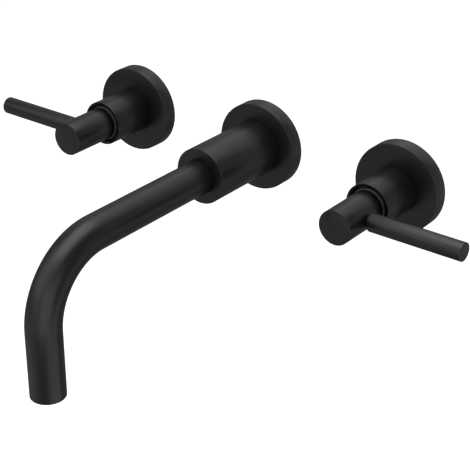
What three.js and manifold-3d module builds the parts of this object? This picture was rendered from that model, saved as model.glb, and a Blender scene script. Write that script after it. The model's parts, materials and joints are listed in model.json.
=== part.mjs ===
// Wall mounted bath faucet: a fixed spout between two quarter-turn valves with rod levers.
//
// Millimetres, +Z up. The wall's finished face is the plane y = 0, and the faucet stands out from it
// along -Y. The spout's inlet axis passes through the origin, and the valves lie on either side in X.
// A depth is measured outward from the wall, so a point at depth d has y = -d, and a negative depth
// lies inside the wall.

import * as THREE from 'three';
import { mergeVertices } from 'three/addons/utils/BufferGeometryUtils.js';
import Module from 'manifold-3d';

const wasm = await Module();
wasm.setup();

// ---- Driving dimensions ----------------------------------------------------------------------------

// Layout
const VALVE_OFFSET = 100; // spout axis to each valve axis
const SPOUT_REACH = 197.7; // wall to outlet axis
const SPOUT_DROP = 82.4; // spout axis down to the outlet's end
const TAIL_LENGTH = 15; // how far each inlet reaches into the wall

// Clearances
const SEAT_GAP = 0.05; // between faces that rest on each other
const FIT_GAP = 0.1; // round a piece that is screwed, pressed or slid in
const TURN_GAP = 0.4; // round a piece that turns
const DISC_GAP = 0.1; // between faces that turn against each other

// Escutcheons
const FLANGE_RADIUS = 27.5;
const FLANGE_DEPTH = 9.5;
const FLANGE_WALL = 1.8;
const FLANGE_EDGE = 0.4;
const FOAM_WIDTH = 3;
const FOAM_THICKNESS = 2.4;

// Sleeve, and the glide ring inside its lip
const SLEEVE_LENGTH = 30;
const SLEEVE_BORE = 12.2; // radius
const SLEEVE_WALL = 1.85;
const SLEEVE_EDGE = 0.25;
const SLEEVE_DISH = 0.8; // how far its front face falls inward
const RING_LENGTH = 4.2;
const RING_WIDTH = 3.2; // from the sleeve's bore in to the neck
const RING_FOOT = 1.4; // length of the part that sits in the neck's groove
const RING_NOSE = { inner: 0.7, outer: 0.6, edge: 0.5 }; // how far its front stands clear either side
const RING_SETBACK = 0.3; // ring face behind the sleeve's front
const RING_GROOVE = 0.4; // how deep it sits in the hub's neck

// Handle
const HUB_RADIUS = 10.4;
const HUB_LENGTH = 30.8;
const HUB_EDGE = 0.3;
const SHADOW_GAP = 1.8; // sleeve front to the hub's full diameter
const NECK_LENGTH = 7.3;
const LEVER_RADIUS = 5.45;
const LEVER_REACH = 70; // valve axis to the lever's end
const LEVER_SETBACK = 18.5; // hub front to lever axis
const LEVER_GAP = 0.5; // hub surface to the lever's inner end
const LEVER_NECK = { radius: 4, length: 0.8 }; // narrower inner end
const LEVER_TAPER = 0.6; // from the narrow end to the full rod
const LEVER_EDGE = 0.4;
const STUD_RADIUS = 3;
const STUD_IN_HUB = 6;
const STUD_IN_LEVER = 14;
const HUB_SCREW = { radius: 2, key: 1, setback: 27.6, recess: 0.4, socket: 1.8 };

// Spindle and spline
const SPLINE = { teeth: 20, tip: 4, root: 3.6, length: 15.5, relief: 0.85 };
const BUSH_WALL = 1.3;
const BUSH_LENGTH = 12;
const BUSH_PROUD = 0.4; // bush beyond the spline, and socket beyond the bush
const SPINDLE_RADIUS = 4.8;
const SPINDLE_FLANGE = 2.6;
const SEAL_SECTION = 0.75; // an O-ring's section is given by its radius
const SEAL_SPACING = 5.4;
const CIRCLIP = { height: 1.1, bite: 0.8, thickness: 1, mouth: 50 }; // mouth in degrees
const TANG = { width: 2.6, length: 9, depth: 1.5 };

// Headwork
const INLET_RADIUS = 10.48; // G1/2 thread, outside
const THREAD_LENGTH = 6.5;
const CAGE_BORE = 7.2; // radius
const CAGE_WALL = 1.7;
const HEX = { flats: 27, back: 1.2, thickness: 5.6 };
const BARREL_FRONT = 20;
const HEAD_NECK_WALL = 2.8;
const HEAD_NECK_FRONT = 30;
const WINDOW_HEIGHT = 7;
const WASHER_THICKNESS = 0.8;
const DISC_THICKNESS = 2.6;
const DISC_HUB_RADIUS = 2.4;
const DISC_NOTCH_ANGLE = 78; // degrees
const PORT = { inner: 2.9, outer: 5.7, angle: 66 };
const SEAT_SEAL = { inner: 6, thickness: 1.9, proud: 0.4 };
const BODY_RING_SECTION = 1;

// Spout
const COLLAR_RADIUS = 17.2;
const COLLAR_LENGTH = 55;
const COLLAR_EDGE = 0.3;
const TUBE_RADIUS = 10.3;
const TUBE_WALL = 2;
const TUBE_SOCKET = 20; // tube held inside the collar
const BEND_RADIUS = 42.5; // to the tube's centreline
const ADAPTER_RADIUS = 13.5;
const ADAPTER_BACK = 2;
const SPIGOT_LENGTH = 15;
const SPIGOT_SHOULDER = 4; // adapter's full diameter ends this far behind the tube
const SPIGOT_GROOVES = [4, 10]; // from the spigot's root
const SPIGOT_RING_SECTION = 0.62;
const PASSAGE_RADIUS = 5.6;
const NIPPLE_BORE = 7;
const NIPPLE_FRONT = 20.5;
const NIPPLE_WASHER_THICKNESS = 1.4;
const COLLAR_SCREW = { radius: 2.5, key: 1.25, depth: 22, recess: 0.35, socket: 1.6 };

// Jet regulator in the outlet
const OUTLET_WALL = 1.4;
const OUTLET_SEAT = 13; // outlet end up to the seat
const REGULATOR_RECESS = 0.4;
const REGULATOR_WALL = 1.2;
const REGULATOR_LIP = { thickness: 1.2, overlap: 0.6 };
const KEY_SLOT = { width: 2.2, depth: 1 };
const REGULATOR_WASHER_THICKNESS = 1.5;
const WASHER_OVERLAP = 2; // how far it stands inside the tube's bore
const SCREEN = { thickness: 0.5, pitch: 4, hole: 1.5, rings: 1 };
const GRID = { thickness: 2, pitch: 2.7, hole: 0.95, rings: 2, wall: 1 };

// Facets
const SIDES = 24; // turned outer pieces
const FINE_SIDES = 16; // small turned pieces
const RING_SIDES = 4; // an O-ring's section
const TUBE_STEPS = 24; // along the spout's tube

// ---- Derived places ----------------------------------------------------------------------------------

const sleeveFront = FLANGE_DEPTH + SLEEVE_LENGTH;
const sleeveRadius = SLEEVE_BORE + SLEEVE_WALL;
const ringRadius = SLEEVE_BORE - TURN_GAP;
const neckRadius = ringRadius - RING_WIDTH;
const barrelRadius = SLEEVE_BORE - 2 * FIT_GAP;
const hubBack = sleeveFront + SHADOW_GAP;
const hubFront = hubBack + HUB_LENGTH;
const neckBack = hubBack - NECK_LENGTH;
const leverDepth = hubFront - LEVER_SETBACK;
const leverStart = HUB_RADIUS + LEVER_GAP;
const ringFront = sleeveFront - RING_SETBACK;
const ringBack = ringFront - RING_LENGTH;
const ringFootFront = ringBack + RING_FOOT;

const spindleBore = SPINDLE_RADIUS + TURN_GAP;
const headNeckRadius = spindleBore + HEAD_NECK_WALL;
const cageRadius = CAGE_BORE + CAGE_WALL;
const discRadius = CAGE_BORE - TURN_GAP - FIT_GAP;
const sealFloor = SPINDLE_RADIUS - 2 * SEAL_SECTION;
const circlipFloor = SPINDLE_RADIUS - CIRCLIP.bite;
const circlipBack = HEAD_NECK_FRONT + DISC_GAP;
const circlipFront = circlipBack + CIRCLIP.thickness;
const splineBack = circlipFront + SPLINE.relief;
const splineFront = splineBack + SPLINE.length;
const bushRadius = SPLINE.tip + BUSH_WALL + FIT_GAP;
const bushFront = splineFront + BUSH_PROUD;
const bushBack = bushFront - BUSH_LENGTH;
const socketFront = bushFront + BUSH_PROUD;

const sealFront = -TAIL_LENGTH - SEAT_SEAL.proud + SEAT_SEAL.thickness;
const fixedDiscBack = sealFront + SEAT_GAP;
const movingDiscBack = fixedDiscBack + DISC_THICKNESS + DISC_GAP;
const movingDiscFront = movingDiscBack + DISC_THICKNESS;
const flangeBack = movingDiscFront + SEAT_GAP;
const flangeFront = flangeBack + SPINDLE_FLANGE;
const washerBack = flangeFront + SEAT_GAP;
const cageFloor = washerBack + WASHER_THICKNESS + DISC_GAP;
const threadFront = HEX.back - 2 * (BODY_RING_SECTION + SEAT_GAP);
const threadBack = threadFront - THREAD_LENGTH;

const collarBack = FLANGE_DEPTH + SEAT_GAP;
const collarFront = FLANGE_DEPTH + COLLAR_LENGTH;
const tubeBack = collarFront - TUBE_SOCKET;
const tubeBore = TUBE_RADIUS - TUBE_WALL;
const nippleWasherBack = NIPPLE_FRONT + SEAT_GAP;
const adapterStop = nippleWasherBack + NIPPLE_WASHER_THICKNESS + SEAT_GAP;
const spigotRoot = tubeBack - FIT_GAP;
const spigotRadius = tubeBore - 3 * FIT_GAP;
const spigotFloor = tubeBore - 2 * (SEAT_GAP + SPIGOT_RING_SECTION);

const outletBore = TUBE_RADIUS - OUTLET_WALL;
const outletSeat = -SPOUT_DROP + OUTLET_SEAT;
const regulatorTop = outletSeat - 2 * SEAT_GAP - REGULATOR_WASHER_THICKNESS;
const regulatorEnd = -SPOUT_DROP + REGULATOR_RECESS;
const regulatorRadius = outletBore - FIT_GAP;
const regulatorBore = regulatorRadius - REGULATOR_WALL;
const lipRadius = regulatorBore - REGULATOR_LIP.overlap;
const lipTop = regulatorEnd + REGULATOR_LIP.thickness;

// ---- Materials ---------------------------------------------------------------------------------------

const finish = (color, roughness, metalness) => () =>
  new THREE.MeshStandardMaterial({ color, roughness, metalness });
const matteBlack = finish(0x1c1c1d, 0.55, 0.2);
const brass = finish(0xb8924a, 0.35, 1);
const steel = finish(0xa8abae, 0.35, 1);
const blackSteel = finish(0x1b1b1c, 0.5, 0.6);
const ceramic = finish(0xe9e6df, 0.3, 0);
const rubber = finish(0x161616, 0.85, 0);
const foam = finish(0x3a3a3c, 0.95, 0);
const plastic = finish(0x232426, 0.5, 0);
const palePlastic = finish(0xdcdcd8, 0.5, 0);

// ---- Geometry helpers --------------------------------------------------------------------------------

// A solid of revolution about the Y axis. The outline is a list of [radius, depth] points, either round a
// closed ring or from the axis back to the axis.
function turned(outline, sides = SIDES) {
  const points = outline.map(([radius, depth]) => new THREE.Vector2(radius, -depth));
  const onAxis = outline[0][0] === 0;
  if (THREE.ShapeUtils.area(points) < 0) points.reverse();
  if (!onAxis) points.push(points[0].clone());
  return new THREE.LatheGeometry(points, sides);
}

// A ring of rectangular section between two radii and two depths.
function washer(inner, outer, back, front, sides = SIDES) {
  return turned([[inner, back], [inner, front], [outer, front], [outer, back]], sides);
}

// An O-ring whose section just clears the groove's floor.
function oRing(groove, section, depth, sides = FINE_SIDES) {
  const centre = groove + SEAT_GAP + section;
  const outline = [];
  for (let i = 0; i < RING_SIDES; i++) {
    const angle = (i / RING_SIDES) * 2 * Math.PI;
    outline.push([centre + section * Math.cos(angle), depth + section * Math.sin(angle)]);
  }
  return turned(outline, sides);
}

// A flat shape in the XZ plane, extruded outward between two depths.
function plate(shape, back, front, sides = SIDES) {
  const geometry = new THREE.ExtrudeGeometry(shape, {
    depth: front - back,
    bevelEnabled: false,
    curveSegments: sides / 2,
  });
  return geometry.rotateX(Math.PI / 2).translate(0, -back, 0);
}

function disc(radius) {
  return new THREE.Shape().absarc(0, 0, radius, 0, 2 * Math.PI, false);
}

function polygon(count, radiusOf) {
  const points = [];
  for (let i = 0; i < count; i++) {
    const angle = (i / count) * 2 * Math.PI;
    const radius = radiusOf(i);
    points.push(new THREE.Vector2(radius * Math.cos(angle), radius * Math.sin(angle)));
  }
  return new THREE.Shape(points);
}

function hexagon(flats) {
  return polygon(6, () => flats / Math.sqrt(3));
}

function splineShape(clearance) {
  return polygon(2 * SPLINE.teeth, (i) => (i % 2 ? SPLINE.root : SPLINE.tip) + clearance);
}

// A sector of a ring between two radii, centred on an angle.
function sector(inner, outer, middle, width) {
  const from = THREE.MathUtils.degToRad(middle - width / 2);
  const to = THREE.MathUtils.degToRad(middle + width / 2);
  const path = new THREE.Shape();
  path.absarc(0, 0, outer, from, to, false);
  path.absarc(0, 0, inner, to, from, true);
  path.closePath();
  return path;
}

function toSolid(geometry) {
  const bare = geometry.clone();
  bare.deleteAttribute('normal');
  bare.deleteAttribute('uv');
  const merged = mergeVertices(bare, 1e-5);
  const vertProperties = new Float32Array(merged.attributes.position.array);
  const triVerts = new Uint32Array(merged.index.array);
  return new wasm.Manifold(new wasm.Mesh({ numProp: 3, vertProperties, triVerts }));
}

function toGeometry(solid) {
  const mesh = solid.getMesh();
  const geometry = new THREE.BufferGeometry();
  geometry.setAttribute('position', new THREE.BufferAttribute(mesh.vertProperties, 3));
  geometry.setIndex(new THREE.BufferAttribute(mesh.triVerts, 1));
  geometry.computeVertexNormals();
  return geometry;
}

function cut(geometry, ...tools) {
  let solid = toSolid(geometry);
  for (const tool of tools) solid = solid.subtract(toSolid(tool));
  return toGeometry(solid);
}

function join(geometry, ...others) {
  let solid = toSolid(geometry);
  for (const other of others) solid = solid.add(toSolid(other));
  return toGeometry(solid);
}

function piece(name, geometry, material) {
  const mesh = new THREE.Mesh(geometry, material());
  mesh.name = name;
  return mesh;
}

// ---- Pieces shared by valve and spout ------------------------------------------------------------------

function escutcheon(hole) {
  const rim = FLANGE_RADIUS - FLANGE_WALL;
  return turned([
    [hole, FLANGE_DEPTH],
    [FLANGE_RADIUS - FLANGE_EDGE, FLANGE_DEPTH],
    [FLANGE_RADIUS, FLANGE_DEPTH - FLANGE_EDGE],
    [FLANGE_RADIUS, 0],
    [rim, 0],
    [rim, FLANGE_DEPTH - FLANGE_WALL],
    [hole, FLANGE_DEPTH - FLANGE_WALL],
  ]);
}

function escutcheonSeal() {
  const outer = FLANGE_RADIUS - FLANGE_WALL - FIT_GAP;
  return washer(outer - FOAM_WIDTH, outer, SEAT_GAP, SEAT_GAP + FOAM_THICKNESS);
}

// A socket screw that points up at the axis from below, given by its tip's and its head's distance from it.
function grubScrew(screw, tip, head) {
  const point = 0.6 * screw.radius;
  const blank = turned(
    [[0, tip], [point, tip], [screw.radius, tip + point], [screw.radius, head], [0, head]],
    FINE_SIDES,
  );
  const socket = plate(hexagon(2 * screw.key), head - screw.socket, head + 1);
  return cut(blank, socket).rotateX(Math.PI / 2);
}

// A round hole drilled up from below, through the stretch between two distances under the axis.
function holeFromBelow(radius, depth, near, far) {
  return new THREE.CylinderGeometry(radius, radius, far - near, FINE_SIDES)
    .rotateX(Math.PI / 2)
    .translate(0, -depth, -(near + far) / 2);
}

// ---- Valve pieces --------------------------------------------------------------------------------------

function sleeve() {
  const back = FLANGE_DEPTH + SEAT_GAP;
  return turned([
    [SLEEVE_BORE, back],
    [SLEEVE_BORE, sleeveFront - SLEEVE_DISH],
    [sleeveRadius - SLEEVE_EDGE, sleeveFront],
    [sleeveRadius, sleeveFront - SLEEVE_EDGE],
    [sleeveRadius, back],
  ]);
}

// It turns with the hub: its foot sits in the neck's groove and runs in the sleeve's bore, and its
// nose stands clear of both.
function guideRing() {
  const foot = neckRadius - RING_GROOVE + FIT_GAP;
  const inner = neckRadius + RING_NOSE.inner;
  const outer = ringRadius - RING_NOSE.outer;
  const edge = RING_NOSE.edge;
  return turned([
    [foot, ringBack],
    [foot, ringFootFront],
    [inner, ringFootFront],
    [inner, ringFront - edge],
    [inner + edge, ringFront],
    [outer - edge, ringFront],
    [outer, ringFront - edge],
    [outer, ringFootFront],
    [ringRadius, ringFootFront],
    [ringRadius, ringBack],
  ]);
}

function handleHub(side) {
  const socket = bushRadius + FIT_GAP;
  const floor = neckRadius - RING_GROOVE;
  const blank = turned([
    [0, socketFront],
    [socket, socketFront],
    [socket, neckBack],
    [neckRadius, neckBack],
    [neckRadius, ringBack - SEAT_GAP],
    [floor, ringBack - SEAT_GAP],
    [floor, ringFootFront + SEAT_GAP],
    [neckRadius, ringFootFront + SEAT_GAP],
    [neckRadius, hubBack],
    [HUB_RADIUS, hubBack],
    [HUB_RADIUS, hubFront - HUB_EDGE],
    [HUB_RADIUS - HUB_EDGE, hubFront],
    [0, hubFront],
  ]);
  const studLength = STUD_IN_HUB + HUB_RADIUS;
  const studHole = new THREE.CylinderGeometry(
    STUD_RADIUS + FIT_GAP, STUD_RADIUS + FIT_GAP, studLength, FINE_SIDES,
  )
    .rotateZ(Math.PI / 2)
    .translate(side * (HUB_RADIUS - STUD_IN_HUB - SEAT_GAP + studLength / 2), -leverDepth, 0);
  const screwHole = holeFromBelow(
    HUB_SCREW.radius + FIT_GAP, hubFront - HUB_SCREW.setback, SPLINE.tip, 2 * HUB_RADIUS,
  );
  return cut(blank, studHole, screwHole);
}

function hubScrew() {
  const geometry = grubScrew(HUB_SCREW, bushRadius + SEAT_GAP, HUB_RADIUS - HUB_SCREW.recess);
  return geometry.translate(0, -(hubFront - HUB_SCREW.setback), 0);
}

// The lever lies along X: it is turned about Y first, then laid over to its side of the valve.
function alongLever(geometry, side) {
  return geometry.rotateZ((side * Math.PI) / 2).translate(0, -leverDepth, 0);
}

function handleLever(side) {
  const end = LEVER_REACH;
  const bore = STUD_RADIUS + FIT_GAP;
  const boreEnd = leverStart + STUD_IN_LEVER;
  const neckEnd = leverStart + LEVER_NECK.length;
  const geometry = turned([
    [0, boreEnd],
    [bore, boreEnd],
    [bore, leverStart],
    [LEVER_NECK.radius, leverStart],
    [LEVER_NECK.radius, neckEnd],
    [LEVER_RADIUS, neckEnd + LEVER_TAPER],
    [LEVER_RADIUS, end - LEVER_EDGE],
    [LEVER_RADIUS - LEVER_EDGE, end],
    [0, end],
  ]);
  return alongLever(geometry, side);
}

function leverStud(side) {
  const from = HUB_RADIUS - STUD_IN_HUB;
  const to = leverStart + STUD_IN_LEVER - SEAT_GAP;
  const outline = [[0, from], [STUD_RADIUS, from], [STUD_RADIUS, to], [0, to]];
  return alongLever(turned(outline, FINE_SIDES), side);
}

function splineBush() {
  const blank = disc(bushRadius);
  blank.holes.push(splineShape(FIT_GAP));
  return plate(blank, bushBack, bushFront);
}

function headworkBody() {
  const hexBack = HEX.back;
  const hexFront = HEX.back + HEX.thickness;
  const blank = turned([
    [CAGE_BORE, -TAIL_LENGTH],
    [CAGE_BORE, cageFloor],
    [spindleBore, cageFloor],
    [spindleBore, HEAD_NECK_FRONT],
    [headNeckRadius, HEAD_NECK_FRONT],
    [headNeckRadius, BARREL_FRONT],
    [barrelRadius, BARREL_FRONT],
    [barrelRadius, hexFront - 1],
    [cageRadius, hexFront - 1],
    [cageRadius, threadFront],
    [INLET_RADIUS, threadFront],
    [INLET_RADIUS, threadBack],
    [cageRadius, threadBack],
    [cageRadius, -TAIL_LENGTH],
  ]);
  const nut = hexagon(HEX.flats);
  nut.holes.push(disc((CAGE_BORE + cageRadius) / 2));
  const windows = new THREE.BoxGeometry(4 * cageRadius, DISC_THICKNESS - DISC_GAP, WINDOW_HEIGHT)
    .translate(0, -(movingDiscBack + movingDiscFront) / 2, 0);
  return cut(join(blank, plate(nut, hexBack, hexFront)), windows);
}

function bodyORing() {
  return oRing(cageRadius, BODY_RING_SECTION, HEX.back - SEAT_GAP - BODY_RING_SECTION, SIDES);
}

function spindle() {
  const grooves = sealDepths().flatMap((depth) => {
    const half = SEAL_SECTION + 1.5 * FIT_GAP;
    return [
      [SPINDLE_RADIUS, depth - half],
      [sealFloor, depth - half],
      [sealFloor, depth + half],
      [SPINDLE_RADIUS, depth + half],
    ];
  });
  const shaft = turned(
    [
      [0, flangeBack],
      [discRadius, flangeBack],
      [discRadius, flangeFront],
      [SPINDLE_RADIUS, flangeFront],
      ...grooves,
      [SPINDLE_RADIUS, circlipBack - SEAT_GAP],
      [circlipFloor, circlipBack - SEAT_GAP],
      [circlipFloor, circlipFront + SEAT_GAP],
      [SPINDLE_RADIUS, circlipFront + SEAT_GAP],
      [SPINDLE_RADIUS, splineBack],
      [0, splineBack],
    ],
    FINE_SIDES,
  );
  const tang = new THREE.BoxGeometry(TANG.width, TANG.depth + 1, TANG.length)
    .translate(0, -(flangeBack + 1 - (TANG.depth + 1) / 2), 0);
  const spline = plate(splineShape(0), splineBack - 1, splineFront);
  return join(shaft, tang, spline);
}

function sealDepths() {
  const middle = (cageFloor + BARREL_FRONT) / 2;
  return [middle - SEAL_SPACING / 2, middle + SEAL_SPACING / 2];
}

function spindleORing(depth) {
  return oRing(sealFloor, SEAL_SECTION, depth);
}

function spindleCirclip() {
  const inner = circlipFloor + SEAT_GAP + FIT_GAP;
  const clip = sector(inner, spindleBore + CIRCLIP.height, 90, 360 - CIRCLIP.mouth);
  return plate(clip, circlipBack, circlipFront, FINE_SIDES);
}

function thrustWasher() {
  const outer = CAGE_BORE - TURN_GAP;
  return washer(SPINDLE_RADIUS + FIT_GAP, outer, washerBack, washerBack + WASHER_THICKNESS, FINE_SIDES);
}

// Two lands with open notches between them, driven by the spindle's tang in a slot across its front.
function movingDisc() {
  const blank = plate(disc(discRadius), movingDiscBack, movingDiscFront);
  const notches = [0, 180].map((angle) =>
    plate(
      sector(DISC_HUB_RADIUS, 2 * discRadius, angle, DISC_NOTCH_ANGLE),
      movingDiscBack - 1,
      movingDiscFront + 1,
      FINE_SIDES / 2,
    ));
  const slot = new THREE.BoxGeometry(
    TANG.width + 2 * FIT_GAP, 2 * (TANG.depth + FIT_GAP), TANG.length + 2 * FIT_GAP,
  ).translate(0, -flangeBack, 0);
  return cut(blank, ...notches, slot);
}

function fixedDisc() {
  const blank = disc(CAGE_BORE - 2 * FIT_GAP);
  for (const angle of [90, 270]) blank.holes.push(sector(PORT.inner, PORT.outer, angle, PORT.angle));
  return plate(blank, fixedDiscBack, fixedDiscBack + DISC_THICKNESS, FINE_SIDES);
}

function seatSeal() {
  const back = -TAIL_LENGTH - SEAT_SEAL.proud;
  return washer(SEAT_SEAL.inner, CAGE_BORE - FIT_GAP, back, sealFront);
}

function valve(prefix, side) {
  const [rearSeal, frontSeal] = sealDepths();
  const group = new THREE.Group();
  group.position.x = side * VALVE_OFFSET;
  group.add(
    piece(`${prefix}_escutcheon`, escutcheon(barrelRadius + 4 * FIT_GAP), matteBlack),
    piece(`${prefix}_escutcheon_seal`, escutcheonSeal(), foam),
    piece(`${prefix}_sleeve`, sleeve(), matteBlack),
    piece(`${prefix}_guide_ring`, guideRing(), plastic),
    piece(`${prefix}_handle_hub`, handleHub(side), matteBlack),
    piece(`${prefix}_handle_lever`, handleLever(side), matteBlack),
    piece(`${prefix}_lever_stud`, leverStud(side), blackSteel),
    piece(`${prefix}_grub_screw`, hubScrew(), blackSteel),
    piece(`${prefix}_spline_bush`, splineBush(), palePlastic),
    piece(`${prefix}_headwork_body`, headworkBody(), brass),
    piece(`${prefix}_body_o_ring`, bodyORing(), rubber),
    piece(`${prefix}_spindle`, spindle(), brass),
    piece(`${prefix}_spindle_o_ring_rear`, spindleORing(rearSeal), rubber),
    piece(`${prefix}_spindle_o_ring_front`, spindleORing(frontSeal), rubber),
    piece(`${prefix}_spindle_circlip`, spindleCirclip(), steel),
    piece(`${prefix}_thrust_washer`, thrustWasher(), palePlastic),
    piece(`${prefix}_moving_disc`, movingDisc(), ceramic),
    piece(`${prefix}_fixed_disc`, fixedDisc(), ceramic),
    piece(`${prefix}_seat_seal`, seatSeal(), rubber),
  );
  return group;
}

// ---- Spout pieces --------------------------------------------------------------------------------------

function spoutCollar() {
  const bore = ADAPTER_RADIUS + 2 * FIT_GAP;
  const socket = TUBE_RADIUS + FIT_GAP;
  const blank = turned([
    [bore, collarBack],
    [bore, spigotRoot],
    [socket, spigotRoot],
    [socket, collarFront],
    [COLLAR_RADIUS - COLLAR_EDGE, collarFront],
    [COLLAR_RADIUS, collarFront - COLLAR_EDGE],
    [COLLAR_RADIUS, collarBack],
  ]);
  const hole = holeFromBelow(
    COLLAR_SCREW.radius + FIT_GAP, COLLAR_SCREW.depth, TUBE_RADIUS, 2 * COLLAR_RADIUS,
  );
  return cut(blank, hole);
}

function collarScrew() {
  const tip = ADAPTER_RADIUS + SEAT_GAP;
  const geometry = grubScrew(COLLAR_SCREW, tip, COLLAR_RADIUS - COLLAR_SCREW.recess);
  return geometry.translate(0, -COLLAR_SCREW.depth, 0);
}

// The tube's centreline: straight out of the collar, a quarter bend, then straight down.
class SpoutLine extends THREE.Curve {
  getPoint(t) {
    const bendStart = SPOUT_REACH - BEND_RADIUS;
    const out = bendStart - tubeBack;
    const bend = (BEND_RADIUS * Math.PI) / 2;
    const down = SPOUT_DROP - BEND_RADIUS;
    const travel = t * (out + bend + down);
    if (travel <= out) return new THREE.Vector3(0, -(tubeBack + travel), 0);
    if (travel >= out + bend) {
      return new THREE.Vector3(0, -SPOUT_REACH, -(BEND_RADIUS + travel - out - bend));
    }
    const angle = (travel - out) / BEND_RADIUS;
    const forward = bendStart + BEND_RADIUS * Math.sin(angle);
    return new THREE.Vector3(0, -forward, -BEND_RADIUS * (1 - Math.cos(angle)));
  }
}

function spoutTube() {
  const section = disc(TUBE_RADIUS);
  section.holes.push(disc(tubeBore));
  const tube = new THREE.ExtrudeGeometry(section, {
    steps: TUBE_STEPS,
    curveSegments: SIDES / 2,
    extrudePath: new SpoutLine(),
  });
  const seat = new THREE.CylinderGeometry(outletBore, outletBore, 2 * OUTLET_SEAT, SIDES)
    .rotateX(Math.PI / 2)
    .translate(0, -SPOUT_REACH, -SPOUT_DROP);
  return cut(tube, seat);
}

function wallNipple() {
  return washer(NIPPLE_BORE, INLET_RADIUS, -TAIL_LENGTH, NIPPLE_FRONT);
}

function nippleWasher() {
  const front = nippleWasherBack + NIPPLE_WASHER_THICKNESS;
  return washer(NIPPLE_BORE, INLET_RADIUS - FIT_GAP, nippleWasherBack, front);
}

function spoutAdapter() {
  const body = spigotRoot - SPIGOT_SHOULDER;
  const grooves = SPIGOT_GROOVES.flatMap((offset) => {
    const half = SPIGOT_RING_SECTION + FIT_GAP;
    const back = spigotRoot + offset - half;
    const front = spigotRoot + offset + half;
    return [[spigotRadius, back], [spigotFloor, back], [spigotFloor, front], [spigotRadius, front]];
  });
  return turned([
    [INLET_RADIUS + FIT_GAP, ADAPTER_BACK],
    [INLET_RADIUS + FIT_GAP, adapterStop],
    [PASSAGE_RADIUS, adapterStop],
    [PASSAGE_RADIUS, spigotRoot + SPIGOT_LENGTH],
    [spigotRadius, spigotRoot + SPIGOT_LENGTH],
    ...grooves.reverse(),
    [spigotRadius, body],
    [ADAPTER_RADIUS, body],
    [ADAPTER_RADIUS, ADAPTER_BACK],
  ]);
}

function adapterORing(offset) {
  return oRing(spigotFloor, SPIGOT_RING_SECTION, spigotRoot + offset, SIDES);
}

// ---- Jet regulator: turned about Y, then stood upright in the outlet -------------------------------------

// Stands a piece turned about Y upright in the outlet, so that its depths become heights on the
// outlet's axis, measured down from the spout's axis.
function inOutlet(geometry) {
  return geometry.rotateX(Math.PI / 2).translate(0, -SPOUT_REACH, 0);
}

function regulatorHousing() {
  const ring = turned([
    [regulatorBore, -regulatorTop],
    [regulatorBore, -lipTop],
    [lipRadius, -lipTop],
    [lipRadius, -regulatorEnd],
    [regulatorRadius, -regulatorEnd],
    [regulatorRadius, -regulatorTop],
  ]);
  const slots = new THREE.BoxGeometry(3 * regulatorRadius, 2 * KEY_SLOT.depth, KEY_SLOT.width)
    .translate(0, regulatorEnd, 0);
  return inOutlet(cut(ring, slots));
}

// A round plate pierced by a honeycomb of hexagonal holes, in rings about one in the middle.
function honeycomb(radius, { rings, pitch, hole }) {
  const shape = disc(radius);
  for (let row = -rings; row <= rings; row++) {
    const count = 2 * rings + 1 - Math.abs(row);
    for (let i = 0; i < count; i++) {
      const x = (i - (count - 1) / 2) * pitch;
      const centre = new THREE.Vector2(x, row * pitch * Math.sin(Math.PI / 3));
      const corners = polygon(6, () => hole).getPoints().map((corner) => corner.add(centre));
      shape.holes.push(new THREE.Path(corners));
    }
  }
  return shape;
}

function regulatorInsert() {
  const radius = regulatorBore - FIT_GAP;
  const seat = -lipTop - SEAT_GAP;
  const shellTop = -regulatorTop + SCREEN.thickness + 2 * SEAT_GAP;
  const shell = washer(radius - GRID.wall, radius, shellTop, seat);
  const face = -regulatorEnd - REGULATOR_RECESS;
  const grid = plate(honeycomb(lipRadius - FIT_GAP, GRID), seat - GRID.thickness, face);
  return inOutlet(join(shell, grid));
}

function regulatorScreen() {
  const top = -regulatorTop + SEAT_GAP;
  const sieve = honeycomb(regulatorBore - FIT_GAP, SCREEN);
  return inOutlet(plate(sieve, top, top + SCREEN.thickness));
}

function regulatorWasher() {
  const top = -outletSeat + SEAT_GAP;
  const inner = tubeBore - WASHER_OVERLAP;
  const outer = outletBore - 2 * FIT_GAP;
  return inOutlet(washer(inner, outer, top, top + REGULATOR_WASHER_THICKNESS));
}

function spout() {
  const group = new THREE.Group();
  const [rear, front] = SPIGOT_GROOVES;
  group.add(
    piece('spout_escutcheon', escutcheon(ADAPTER_RADIUS + 4 * FIT_GAP), matteBlack),
    piece('spout_escutcheon_seal', escutcheonSeal(), foam),
    piece('spout_collar', spoutCollar(), matteBlack),
    piece('collar_grub_screw', collarScrew(), blackSteel),
    piece('spout_tube', spoutTube(), matteBlack),
    piece('wall_nipple', wallNipple(), brass),
    piece('nipple_washer', nippleWasher(), rubber),
    piece('spout_adapter', spoutAdapter(), brass),
    piece('adapter_o_ring_rear', adapterORing(rear), rubber),
    piece('adapter_o_ring_front', adapterORing(front), rubber),
    piece('aerator_housing', regulatorHousing(), brass),
    piece('aerator_insert', regulatorInsert(), palePlastic),
    piece('aerator_screen', regulatorScreen(), steel),
    piece('aerator_washer', regulatorWasher(), rubber),
  );
  return group;
}

const faucet = new THREE.Group();
faucet.add(valve('left', -1), spout(), valve('right', 1));

export default faucet;
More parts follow.
